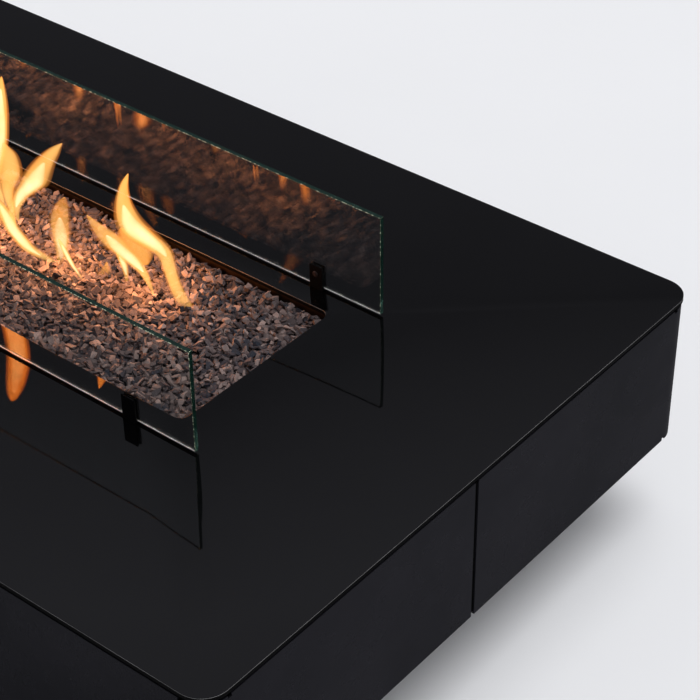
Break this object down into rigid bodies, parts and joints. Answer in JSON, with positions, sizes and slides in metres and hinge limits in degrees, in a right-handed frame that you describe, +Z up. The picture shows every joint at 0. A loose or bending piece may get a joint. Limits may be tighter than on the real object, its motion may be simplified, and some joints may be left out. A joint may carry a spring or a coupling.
{
  "type": "fire pit table",
  "caption": "Low rectangular gas fire table: black box body on a recessed plinth, gloss top, stone-filled burner trough between two clipped glass wind panes, rear service door.",
  "frame": {"origin": "middle of the footprint, on the floor", "axes": "+X along the table to the end seen in the picture, +Y to the far long side with the service door, +Z up"},
  "size_m": [1.5, 0.9, 0.4834],
  "materials": {
    "top_gloss": "mirror-gloss black coating",
    "shell_satin": "satin black powder coat",
    "seam_black": "matte black paint",
    "frame_black": "matte black paint",
    "galvanised": "zinc-coated sheet",
    "heat_shield": "plain rolled sheet",
    "plinth_black": "fine-textured black paint",
    "zinc_fastener": "zinc-plated",
    "brass": "turned brass",
    "foot_rubber": "moulded rubber",
    "spacer_rubber": "cut rubber block",
    "tray_steel": "heat-darkened stainless steel",
    "burner_steel": "stainless steel",
    "gravel_bed": "packed lava gravel",
    "lava_stones": "rough broken lava rock",
    "ceramic_white": "unglazed insulator",
    "copper": "drawn copper",
    "pipe_aluminium": "drawn tube",
    "lead_jacket": "silicone jacket",
    "valve_cast": "die-cast",
    "knob_black": "moulded, fine texture",
    "igniter_case": "moulded",
    "button_red": "moulded gloss",
    "bush_nylon": "nylon",
    "magnet_dark": "moulded magnet holder",
    "pane_glass": "clear, polished edges",
    "clip_black": "satin black",
    "pad_rubber": "soft liner",
    "clamp_screw": "blackened steel"
  },
  "bodies": {
    "table": {"bulkhead_nuts": "brass", "burner_crossover": "burner_steel", "burner_pipe": "pipe_aluminium", "burner_saddles": "burner_steel", "burner_tray": "tray_steel", "burner_tube_far": "burner_steel", "burner_tube_near": "burner_steel", "clamp_screws": "clamp_screw", "clip_nuts": "zinc_fastener", "clip_pads": "pad_rubber", "control_panel": "galvanised", "corner_posts": "frame_black", "door_magnet": "magnet_dark", "feed_elbow": "burner_steel", "flange_screws": "zinc_fastener", "floor_bearers": "frame_black", "floor_pan": "galvanised", "foot_pads": "foot_rubber", "gas_inlet": "brass", "gas_valve": "valve_cast", "glass_clips_far": "clip_black", "glass_clips_near": "clip_black", "gravel_bed": "gravel_bed", "heat_shield": "heat_shield", "hinge_brackets": "frame_black", "hinge_pins": "zinc_fastener", "igniter_body": "igniter_case", "igniter_lead": "lead_jacket", "inlet_pipe": "pipe_aluminium", "lava_stones": "lava_stones", "lower_end_rails": "frame_black", "lower_rail_far": "frame_black", "lower_rail_near": "frame_black", "pilot_bracket": "burner_steel", "pilot_burner": "burner_steel", "pilot_tube": "pipe_aluminium", "plinth_bolts": "zinc_fastener", "plinth_end_panels": "plinth_black", "plinth_long_panels": "plinth_black", "seam_plates": "seam_black", "shell_far": "shell_satin", "shell_near": "shell_satin", "spark_electrode": "ceramic_white", "thermocouple": "copper", "top_plate": "top_gloss", "top_spacers": "spacer_rubber", "trough_bearers": "frame_black", "upper_end_rails": "frame_black", "upper_rail_far": "frame_black", "upper_rail_near": "frame_black"},
    "glass_pane_far": {"glass_pane_far": "pane_glass"},
    "glass_pane_near": {"glass_pane_near": "pane_glass"},
    "service_door": {"service_door": "shell_satin", "hinge_bushes": "bush_nylon", "door_strike": "zinc_fastener"},
    "spindle_slider": {"spindle_collar": "zinc_fastener"},
    "control_knob": {"control_knob": "knob_black", "valve_spindle": "brass"},
    "igniter_button": {"igniter_button": "button_red"}
  },
  "joints": [
    {"name": "pane_far_lift", "type": "slide", "parent": "table", "child": "glass_pane_far", "axis": [0, 0, 1], "range_m": [0, 0.045]},
    {"name": "pane_near_lift", "type": "slide", "parent": "table", "child": "glass_pane_near", "axis": [0, 0, 1], "range_m": [0, 0.045]},
    {"name": "door_hinge", "type": "hinge", "parent": "table", "child": "service_door", "pos_m": [-0.548, 0.4415, 0.22725], "axis": [0, 0, 1], "range_deg": [0, 105]},
    {"name": "knob_push", "type": "slide", "parent": "table", "child": "spindle_slider", "axis": [0, -1, 0], "range_m": [0, 0.004], "stiffness_N_per_m": 1500, "springref_m": -0.002},
    {"name": "knob_turn", "type": "hinge", "parent": "spindle_slider", "child": "control_knob", "pos_m": [-0.33, 0.4256, 0.232], "axis": [0, 1, 0], "range_deg": [0, 180]},
    {"name": "igniter_push", "type": "slide", "parent": "table", "child": "igniter_button", "axis": [0, -1, 0], "range_m": [0, 0.005], "stiffness_N_per_m": 900, "springref_m": -0.002}
  ]
}
